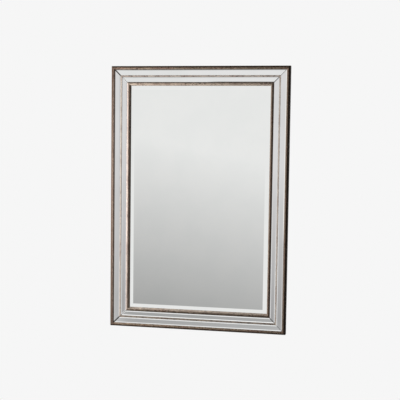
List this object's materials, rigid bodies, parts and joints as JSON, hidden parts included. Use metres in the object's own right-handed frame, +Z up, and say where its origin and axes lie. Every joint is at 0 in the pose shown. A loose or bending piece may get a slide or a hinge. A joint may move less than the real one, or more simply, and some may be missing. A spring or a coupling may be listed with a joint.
{
  "type": "rectangular wall mirror",
  "caption": "Upright rectangular wall mirror in a stepped, mitred frame of gilded half-round beads and bevelled mirror strips, hung on folding wire rings",
  "frame": {"origin": "on the wall plane, midway between the two points where the turned-up rings bear on their wall hooks", "axes": "+X to the right as seen from the front, +Y into the wall, +Z up; the mirror faces -Y"},
  "size_m": [0.708, 0.042, 1.04],
  "materials": {
    "frame_wood": "black-brown satin paint on solid wood",
    "gilded_bead": "antiqued champagne leaf over brown ground, worn and speckled",
    "strip_mirror": "silvered glass with narrow bevels",
    "plate_mirror": "silvered glass with a wide polished bevel",
    "film": "matt polyethylene safety film",
    "packer_plastic": "matt",
    "tape_foam": "closed-cell foam",
    "board": "plain brown hardboard",
    "steel": "bright zinc",
    "bumper_rubber": "matt"
  },
  "bodies": {
    "mirror": {"frame_stile_left": "frame_wood", "frame_stile_right": "frame_wood", "frame_rail_top": "frame_wood", "frame_rail_bottom": "frame_wood", "outer_bead_left": "gilded_bead", "outer_bead_right": "gilded_bead", "outer_bead_top": "gilded_bead", "outer_bead_bottom": "gilded_bead", "outer_mirror_strip_left": "strip_mirror", "outer_mirror_strip_right": "strip_mirror", "outer_mirror_strip_top": "strip_mirror", "outer_mirror_strip_bottom": "strip_mirror", "middle_bead_left": "gilded_bead", "middle_bead_right": "gilded_bead", "middle_bead_top": "gilded_bead", "middle_bead_bottom": "gilded_bead", "inner_mirror_strip_left": "strip_mirror", "inner_mirror_strip_right": "strip_mirror", "inner_mirror_strip_top": "strip_mirror", "inner_mirror_strip_bottom": "strip_mirror", "inner_bead_left": "gilded_bead", "inner_bead_right": "gilded_bead", "inner_bead_top": "gilded_bead", "inner_bead_bottom": "gilded_bead", "outer_strip_tape": "tape_foam", "inner_strip_tape": "tape_foam", "main_mirror_plate": "plate_mirror", "safety_film": "film", "edge_packers": "packer_plastic", "foam_strips": "tape_foam", "backing_board": "board", "backing_points": "steel", "corner_v_nails": "steel", "hanger_strap_left": "steel", "hanger_strap_right": "steel", "hanger_screws": "steel", "wall_bumpers": "bumper_rubber"},
    "ring_left": {"hanging_ring_left": "steel"},
    "ring_right": {"hanging_ring_right": "steel"}
  },
  "joints": [
    {"name": "ring_left_fold", "type": "hinge", "parent": "mirror", "child": "ring_left", "pos_m": [-0.32475, -0.0034, -0.01749], "axis": [1, 0, 0], "range_deg": [0, 180]},
    {"name": "ring_right_fold", "type": "hinge", "parent": "mirror", "child": "ring_right", "pos_m": [0.32475, -0.0034, -0.01749], "axis": [1, 0, 0], "range_deg": [0, 180]}
  ]
}
